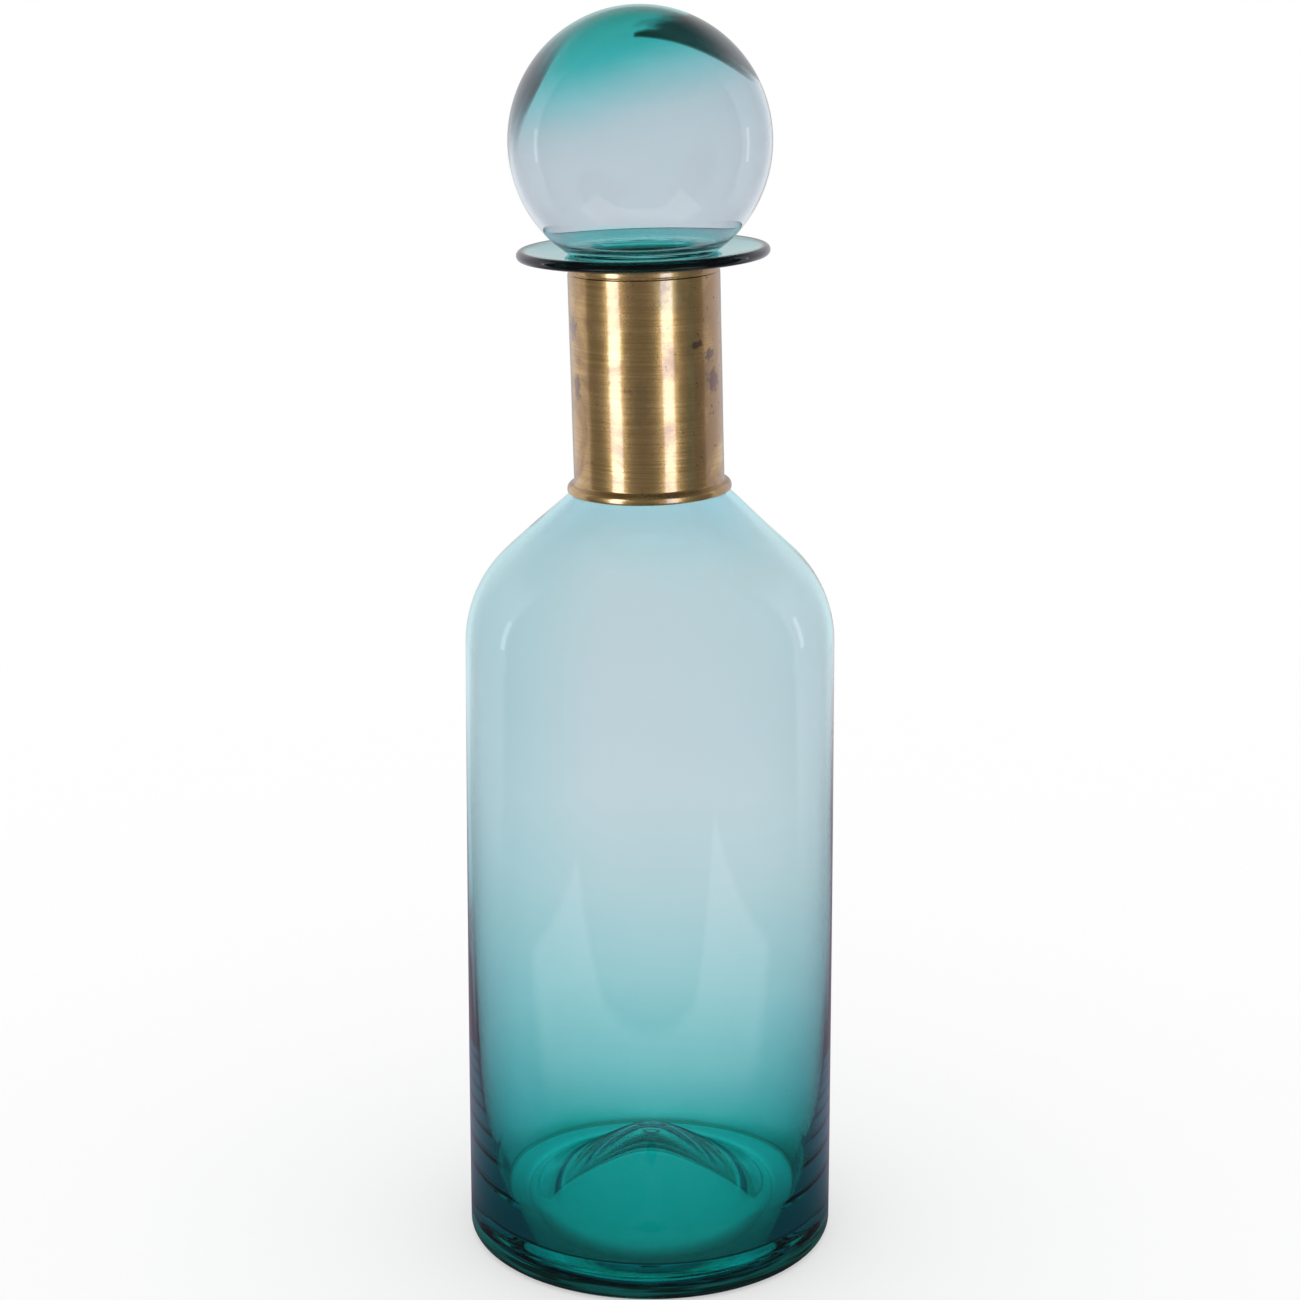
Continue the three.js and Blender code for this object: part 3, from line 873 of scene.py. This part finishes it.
collar = {
    "boreGap": 1.3,
    "sheet": 0.8,
    "endGap": 0.35,
    "beadProjection": 2.4,
    "beadHeight": 3.4,
    "beadRound": 1.9,
    "beadFillet": 1.2,
    "topRound": (0.3, 0.2),
    "hemHeight": 2.1,
    "hemDepth": 0.25,
    "hemWidth": 0.6,
    "slit": 2.2,
    "seamSlack": 0.04,
    "seamSwell": 0.16,
    "seamSegments": 10,
    "flow": 0.6,  # how unevenly the solder ran
    "flowAcross": 0.7,
    "flowUp": 0.35,
    "flowSeed": 3.1,
    "dents": 0.07,
    "dentsAround": 2.2,
    "dentsUp": 0.05,
    "segments": 240,
}
brassLook = {
    "fineness": 2000.0,
    "length": 26.0,
    "patchScale": 52.0,
    "spotScale": 420.0,
    "cover": 0.56,
    "sideCover": 3.0,
    "grainDark": (0.70, 0.41, 0.10),
    "grainLight": (0.95, 0.60, 0.20),
    "patchColour": (0.52, 0.285, 0.09),
    "spotColour": (0.07, 0.04, 0.03),
    "roughness": 0.15,
    "grainRoughness": 0.10,
    "patchRoughness": 0.12,
    "bump": 0.06,
    "anisotropy": 0.5,
    "coat": 0.9,
    "coatRoughness": 0.09,
    "coatIor": 1.95,
    "stains": [  # place and reach in millimetres, how ragged, and the colour of the old metal there
        {
            "place": (6.0, -24.0, 342.0), "reach": (7.0, 9.0, 8.0), "ragged": 0.5,
            "cover": 0.75, "colour": (0.52, 0.36, 0.13),
        },
        {
            "place": (4.6, -25.0, 341.0), "reach": (2.2, 6.0, 5.0), "ragged": 1.6,
            "cover": 0.4, "colour": (0.20, 0.13, 0.05),
        },
        {
            "place": (13.4, -21.0, 305.0), "reach": (1.5, 6.0, 60.0), "ragged": 0.6,
            "cover": 0.7, "colour": (0.50, 0.41, 0.13),
        },
        {
            "place": (21.2, -12.4, 311.6), "reach": (3.4, 5.0, 4.6), "ragged": 0.9,
            "cover": 0.95, "colour": (0.20, 0.075, 0.05),
        },
        {
            "place": (19.3, -15.2, 320.5), "reach": (2.6, 4.0, 2.2), "ragged": 1.5,
            "cover": 0.9, "colour": (0.15, 0.085, 0.04),
        },
        {
            "place": (15.6, -19.1, 324.6), "reach": (2.4, 4.0, 1.7), "ragged": 1.3,
            "cover": 0.9, "colour": (0.17, 0.09, 0.045),
        },
        {
            "place": (-25.3, -8.6, 328.0), "reach": (3.0, 4.0, 4.0), "ragged": 1.2,
            "cover": 0.8, "colour": (0.22, 0.14, 0.09),
        },
        {
            "place": (-24.6, -11.0, 309.0), "reach": (2.0, 3.0, 4.5), "ragged": 1.3,
            "cover": 0.8, "colour": (0.20, 0.13, 0.08),
        },
        {
            "place": (-3.0, -25.6, 306.0), "reach": (3.0, 6.0, 9.0), "ragged": 1.2,
            "cover": 0.3, "colour": (0.36, 0.25, 0.10),
        },
    ],
}
solderLook = {
    "fineness": 900.0,
    "length": 300.0,
    "patchScale": 160.0,
    "spotScale": 600.0,
    "cover": 0.5,
    "grainDark": (0.36, 0.31, 0.24),
    "grainLight": (0.56, 0.51, 0.42),
    "patchColour": (0.22, 0.17, 0.11),
    "spotColour": (0.10, 0.08, 0.06),
    "roughness": 0.34,
    "grainRoughness": 0.16,
    "patchRoughness": 0.12,
    "bump": 0.5,
    "sideCover": 0.0,
    "anisotropy": 0.0,
    "coat": 0.0,
    "coatRoughness": 0.1,
    "coatIor": 1.5,
}

collarBore = bottle["neckRadius"] + collar["boreGap"]
collarRadius = collarBore + collar["sheet"]
collarTopZ = lipUnderZ - collar["endGap"]


def collarFootZ(r):  # the foot keeps clear of the cone of the shoulder
    return neckRootZ - (r - bottle["neckRadius"] - collar["endGap"] / math.cos(slope)) / math.tan(slope)


def collarOutline():
    c = collar
    beadRadius = collarRadius + c["beadProjection"]
    beadTopZ = collarFootZ(beadRadius) + c["beadHeight"]
    footInner = (collarBore, collarFootZ(collarBore))
    footOuter = (beadRadius, collarFootZ(beadRadius))
    beadTop = (beadRadius, beadTopZ)
    waist = (collarRadius, beadTopZ + c["beadFillet"])
    hemZ = collarTopZ - c["hemHeight"]
    outline = [footInner]
    outline += roundedCorner(footInner, footOuter, beadTop, c["beadRound"])
    outline += roundedCorner(footOuter, beadTop, waist, c["beadRound"])
    waistCorner = roundedCorner(beadTop, waist, (collarRadius, hemZ), c["beadFillet"], steps=6)
    outline += waistCorner
    underHem = (collarRadius, hemZ - c["hemWidth"])
    outline += straightPoints(waistCorner[-1], underHem, steps=60) + [underHem]
    hemSteps = 12
    for i in range(1, hemSteps):  # rolled line of the hem
        share = i / hemSteps
        dip = c["hemDepth"] * math.sin(math.pi * share) ** 2
        outline.append((collarRadius - dip, hemZ - c["hemWidth"] + 2 * c["hemWidth"] * share))
    overHem = (collarRadius, hemZ + c["hemWidth"])
    topOuter = (collarRadius, collarTopZ)
    topInner = (collarBore, collarTopZ)
    outerRound, innerRound = c["topRound"]
    outline += [overHem] + roundedCorner(overHem, topOuter, topInner, outerRound, steps=4)
    outline += roundedCorner(topOuter, topInner, footInner, innerRound, steps=3)
    outline += straightPoints(topInner, footInner, steps=24)
    return outline


def makeCollar():
    c = collar
    outline = collarOutline()
    slitAngle = math.asin(c["slit"] / 2 / collarRadius)
    back = math.pi / 2
    around = c["dentsAround"]

    def place(r, z, angle, ring):
        spot = Vector((math.cos(angle) * around, math.sin(angle) * around, z * c["dentsUp"]))
        uneven = r + c["dents"] * noise.noise(spot)
        return leaned(uneven * math.cos(angle), uneven * math.sin(angle), z)

    arc = (back + slitAngle, back + 2 * math.pi - slitAngle)
    piece = turnedMesh("brassCollar", outline, place, c["segments"], arc)
    piece.data.materials.append(makeAgedMetal("agedBrass", brassLook))
    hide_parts("brass_collar")
    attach(piece, "bottle")

    seamAngle = slitAngle - c["seamSlack"] / collarRadius

    def placeSeam(r, z, angle, ring):
        across = (angle - back) / seamAngle
        swell = c["seamSwell"] * (1 - across * across) if r > collarBore + c["sheet"] / 8 else 0
        flow = 1 + c["flow"] * noise.noise(Vector((across * c["flowAcross"], c["flowSeed"], z * c["flowUp"])))
        dent = c["dents"] * noise.noise(Vector((0, around, z * c["dentsUp"])))
        uneven = r + swell * flow + dent
        return leaned(uneven * math.cos(angle), uneven * math.sin(angle), z)

    arc = (back - seamAngle, back + seamAngle)
    seam = turnedMesh("solderedSeam", outline, placeSeam, c["seamSegments"], arc)
    seam.data.materials.append(makeAgedMetal("dullSolder", solderLook))
    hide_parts("collar_seam")
    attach(seam, "bottle")


makeCollar()
print("collar and seam rolled")


# Setting cement between the neck and the collar keeps its solids and gets a gritty finish

cement = {
    "pale": (0.42, 0.39, 0.34),
    "dark": (0.24, 0.22, 0.19),
    "grit": 900.0,
    "roughness": 0.9,
    "bump": 0.6,
    "bumpDepth": 0.0003,
}


def makeCement():
    material, tree, shader = newMaterial("settingCement")
    grit = noiseNode(tree, objectPlace(tree), Scale=cement["grit"], Detail=4.0, Roughness=0.7).outputs["Fac"]
    link(tree, mixColour(tree, grit, cement["dark"], cement["pale"]), shader.inputs["Base Color"])
    setInputs(shader, Roughness=cement["roughness"])
    addBump(tree, shader, grit, cement["bump"], cement["bumpDepth"])
    for name in ("collar_bedding_lower", "collar_bedding_upper"):
        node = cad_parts[name]
        node.data.materials.clear()
        node.data.materials.append(material)


makeCement()
print("cement finished")


# Studio: white to the camera and straight through the glass, with a painted room for mirrored or turned light

studio = {
    "floorRadius": 0.9,
    "floorSteps": 96,
    "floorColour": 0.55,
    "floorGlow": 0.45,
    "softLevel": 1.0,
    "floorBehind": 0.25,  # how bright the mirrored floor is behind and in front of the object
    "floorFront": 0.06,
    "floorTurn": (-0.03, 0.08),
    "floorTint": (1.1, 0.95, 1.25),
    "farFrom": (0.35, 0.8),  # from here the floor blends into the room
    "sheet": {
        "front": 0.31, "slant": 0.8, "leftSlant": 0.4, "slantFrom": 0.15, "left": 0.37, "right": 0.38,
        "behind": (-0.15, -0.09), "from": (0.19, 0.28), "soft": 0.014, "level": 0.95,
    },
    "turnedLevel": 0.015,  # what is left of the room after a turn inside the glass
    "turnedNear": 0.15,
    "turnedWindow": 0.9,
    "turnedReach": (0.08, 0.26),
    "turnedHalf": 22.0,
    "turnedEdge": 50.0,
    "turnedLow": (0.18, 0.40),
    "turnedRecess": 0.75,
    "turnedDeep": 0.70,
    "deepFloor": 2.5,  # surfaces passed before light counts as deep
    "deepRoom": 3.5,
    "recessShade": 0.58,  # painted shadow on the floor right under the foot, seen through the glass
    "recessFrom": (0.038, 0.046),
    "ringShade": (0.20, 0.75),
    "ringFrom": (-0.04, 0.03),
    "clearFrom": (0.070, 0.082),
    "backdropLevel": 0.70,
    "backdropHalf": 5.0,  # degrees either side of straight behind, as the panel's turns are
    "backdropEdge": 34.0,
    "panelTurns": (54.0, 64.8, 78.3, 84.6),
    "sideLevel": 1.0,
    "panelLevel": 0.95,
    "dullShare": 0.5,  # the rough brass mirrors a softer room
    "dullLevel": 0.21,
    "frontLevel": 0.10,
    "skyLevel": 0.06,
    "overheadFrom": (0.35, 0.8),
    "wallTint": (1.0, 0.985, 1.07),
}


def turnFromBehind(tree, x, y):
    return mathNode(tree, "ABSOLUTE", mathNode(tree, "ARCTAN2", x, y))


def roomRamp(tree, turn):  # what the glass and brass mirror all round, from straight behind to the front
    side, panel, front = (
        tuple(studio[name] * part for part in studio["wallTint"])
        for name in ("sideLevel", "panelLevel", "frontLevel")
    )
    back = grey(studio["backdropLevel"])
    turns = (0, studio["backdropHalf"], studio["backdropEdge"], *studio["panelTurns"], 180)
    colours = (back, back, side, side, panel, panel, front, front)
    stops = [(degrees / 180, colour) for degrees, colour in zip(turns, colours)]
    return rampNode(tree, mathNode(tree, "DIVIDE", turn, math.pi), stops)


def turnedRay(tree, path):  # light that turned inside the glass before it came out
    bounced = mathNode(tree, "GREATER_THAN", path.outputs["Glossy Depth"], 0.5)
    return times(tree, path.outputs["Is Transmission Ray"], bounced)


def deepRay(tree, path, surfaces):
    return mathNode(tree, "GREATER_THAN", path.outputs["Transmission Depth"], surfaces)


def dulled(tree, path, colour):
    dull = mathNode(tree, "SUBTRACT", 1.0, path.outputs["Is Singular Ray"])
    return mixColour(tree, times(tree, dull, studio["dullShare"]), colour, grey(studio["dullLevel"]))


# The pale sheet painted on the floor for mirrored light only, that the body mirrors, with its front edge and
# its corners
def sheetMask(tree, x, y, away):
    sheet = studio["sheet"]
    soft = sheet["soft"]
    rightPart = mathNode(tree, "MAXIMUM", mathNode(tree, "SUBTRACT", x, sheet["slantFrom"]), 0.0)
    leftPart = mathNode(tree, "MINIMUM", mathNode(tree, "ADD", x, sheet["slantFrom"]), 0.0)
    frontEdge = mathNode(tree, "MULTIPLY_ADD", rightPart, -sheet["slant"], -sheet["front"])
    frontEdge = mathNode(tree, "MULTIPLY_ADD", leftPart, sheet["leftSlant"], frontEdge)
    past = mathNode(tree, "SUBTRACT", y, frontEdge)
    return times(
        tree,
        rangeNode(tree, past, -soft, soft, 0, 1),
        rangeNode(tree, x, -sheet["left"] - soft, -sheet["left"] + soft, 0, 1),
        rangeNode(tree, x, sheet["right"] - soft, sheet["right"] + soft, 1, 0),
        rangeNode(tree, y, *sheet["behind"], 1, 0),
        rangeNode(tree, away, *sheet["from"], 0, 1),
    )


# Pale floor that keeps the shadow
def makeFloor():
    mesh = bpy.data.meshes.new("paleFloor")
    radius = studio["floorRadius"]
    steps = studio["floorSteps"]
    border = arcPoints(0, 0, radius, radius, 0, 360, steps)[:-1]
    mesh.from_pydata([(*point, 0) for point in border], [], [list(range(steps))])
    floor = bpy.data.objects.new("paleFloor", mesh)
    scene.collection.objects.link(floor)
    material, tree, shader = newMaterial("palePaper")
    setInputs(shader, Roughness=1, Specular_IOR_Level=0, Emission_Strength=1)
    path = newNode(tree, "ShaderNodeLightPath")
    place = objectPlace(tree)
    x, y, z = splitXYZ(tree, place)
    away = vectorNode(tree, "LENGTH", place)
    turn = turnFromBehind(tree, x, y)
    lookedAt = mathNode(tree, "MAXIMUM", path.outputs["Is Camera Ray"], path.outputs["Is Diffuse Ray"])
    paper = mixColour(tree, lookedAt, grey(0.0), grey(studio["floorColour"]))
    link(tree, paper, shader.inputs["Base Color"])

    glow = mixColour(tree, path.outputs["Is Camera Ray"], grey(0.0), grey(studio["floorGlow"]))
    # painted shadow of the foot, for light seen through the glass: darker in front of the ring, plain white
    # further out
    recess = rangeNode(tree, away, *studio["recessFrom"], 1, 0)
    ring = rangeNode(tree, y, *studio["ringFrom"], *studio["ringShade"])
    under = mixColour(tree, recess, ring, grey(studio["recessShade"]))
    under = mixColour(tree, rangeNode(tree, away, *studio["clearFrom"], 0, 1), under, grey(1.0))
    glow = mixColour(tree, path.outputs["Is Transmission Ray"], glow, under)

    half, edge = (math.radians(studio[name]) for name in ("turnedHalf", "turnedEdge"))
    window = rangeNode(tree, turn, half, edge, 1, 0)
    bright = rangeNode(tree, away, *studio["turnedReach"], studio["turnedNear"], studio["turnedWindow"])
    deep = deepRay(tree, path, studio["deepFloor"])
    dark = mixColour(tree, deep, grey(studio["turnedLevel"]), grey(studio["turnedDeep"]))
    turned = mixColour(tree, window, dark, bright)
    turned = mixColour(tree, recess, turned, grey(studio["turnedRecess"]))
    glow = mixColour(tree, turnedRay(tree, path), glow, turned)

    near = rangeNode(tree, y, *studio["floorTurn"], studio["floorFront"], studio["floorBehind"])
    near = mixColour(tree, 1.0, near, studio["floorTint"], "MULTIPLY")
    far = rangeNode(tree, away, *studio["farFrom"], 0, 1)
    table = mixColour(tree, far, near, roomRamp(tree, turn))
    table = mixColour(tree, sheetMask(tree, x, y, away), table, grey(studio["sheet"]["level"]))
    mirrored = times(tree, path.outputs["Is Reflection Ray"], path.outputs["Is Glossy Ray"])
    glow = mixColour(tree, mirrored, glow, dulled(tree, path, table))
    link(tree, glow, shader.inputs["Emission Color"])
    mesh.materials.append(material)


# World: plain white behind the object, and the rest of the painted room
def makeWorld():
    world = bpy.data.worlds.new("studioWorld")
    world.use_nodes = True
    world.cycles.sampling_method = "NONE"
    scene.world = world
    tree = world.node_tree
    tree.nodes.clear()
    output = newNode(tree, "ShaderNodeOutputWorld")
    glow = newNode(tree, "ShaderNodeBackground")
    link(tree, glow.outputs[0], output.inputs["Surface"])
    x, y, z = splitXYZ(tree, newNode(tree, "ShaderNodeTexCoord").outputs["Generated"])
    turn = turnFromBehind(tree, x, y)
    path = newNode(tree, "ShaderNodeLightPath")
    overhead = rangeNode(tree, z, *studio["overheadFrom"], 0, 1)
    room = mixColour(tree, overhead, roomRamp(tree, turn), grey(studio["skyLevel"]))
    room = dulled(tree, path, room)
    lit = mixColour(tree, path.outputs["Is Glossy Ray"], grey(studio["softLevel"]), room)

    dark = grey(studio["turnedLevel"])
    bright = grey(studio["turnedWindow"])
    half, edge = (studio[name] / 180 for name in ("turnedHalf", "turnedEdge"))
    stops = [(0, bright), (half, bright), (edge, dark), (1, dark)]
    window = rampNode(tree, mathNode(tree, "DIVIDE", turn, math.pi), stops)
    low = rangeNode(tree, z, *studio["turnedLow"], 1, 0)
    deep = deepRay(tree, path, studio["deepRoom"])
    window = mixColour(tree, mathNode(tree, "MAXIMUM", low, deep), dark, window)
    window = mixColour(tree, deep, window, grey(studio["turnedDeep"]), "LIGHTEN")
    turned = turnedRay(tree, path)
    lit = mixColour(tree, turned, lit, window)

    straight = mathNode(tree, "SUBTRACT", path.outputs["Is Transmission Ray"], turned)
    white = mathNode(tree, "MAXIMUM", path.outputs["Is Camera Ray"], straight)
    link(tree, mixColour(tree, white, lit, grey(1.0)), glow.inputs["Color"])


# Tall soft boxes give the brass its bright lines, faint ones stand behind it, and slim ones mark the glass
lamps = {
    "leftBox": {"turn": -48.0, "height": 0.5, "away": 1.15, "wide": 0.39, "tall": 1.3, "radiance": 2.8},
    "rightBox": {"turn": 33.0, "height": 0.5, "away": 1.15, "wide": 0.35, "tall": 1.3, "radiance": 2.7},
    "leftRim": {"turn": -140.0, "height": 0.5, "away": 1.15, "wide": 0.46, "tall": 1.3, "radiance": 0.06},
    "rightRim": {"turn": 143.0, "height": 0.5, "away": 1.15, "wide": 0.46, "tall": 1.3, "radiance": 0.06},
    "leftSlit": {"turn": -100.0, "height": 0.33, "away": 1.1, "wide": 0.08, "tall": 0.34, "radiance": 1.5},
    "rightSlit": {"turn": 105.0, "height": 0.33, "away": 1.1, "wide": 0.08, "tall": 0.34, "radiance": 1.5},
}
boxColour = (0.88, 0.98, 1.35)
collarPieces = ("brassCollar", "solderedSeam", "collar_bedding_lower", "collar_bedding_upper")
glassPieces = ("blownBottle", "ballStopper")


def makeLamps():
    for name, box in lamps.items():
        turn = math.radians(box["turn"])
        place = Vector((math.sin(turn), -math.cos(turn), 0)) * box["away"]
        light = bpy.data.lights.new(name, "AREA")
        light.shape = "RECTANGLE"
        light.color = boxColour if "Box" in name else grey(1.0)
        light.size = box["wide"]
        light.size_y = box["tall"]
        light.energy = box["radiance"] * math.pi * box["wide"] * box["tall"]
        light.use_shadow = False
        lamp = bpy.data.objects.new(name, light)
        lamp.location = place + Vector((0, 0, box["height"]))
        lamp.rotation_euler = place.to_track_quat("Z", "Y").to_euler()
        lamp.visible_camera = False
        lamp.visible_transmission = False
        scene.collection.objects.link(lamp)
        receivers = bpy.data.collections.new(name + "Receivers")
        for target in glassPieces if "Slit" in name else collarPieces:
            receivers.objects.link(bpy.data.objects[target])
        lamp.light_linking.receiver_collection = receivers


makeFloor()
makeWorld()
makeLamps()
print("studio lit")


# Camera at the place that the outline in the photograph gave
view = {
    "location": (0.0, -0.9428, 0.4681),
    "tilt": 74.98,
    "lens": 78.06,
}
cameraData = bpy.data.cameras.new("camera")
cameraData.sensor_width = 36
cameraData.lens = view["lens"]
camera = bpy.data.objects.new("camera", cameraData)
camera.location = view["location"]
camera.rotation_euler = (math.radians(view["tilt"]), 0, 0)
scene.collection.objects.link(camera)
scene.camera = camera

bpy.context.view_layer.update()
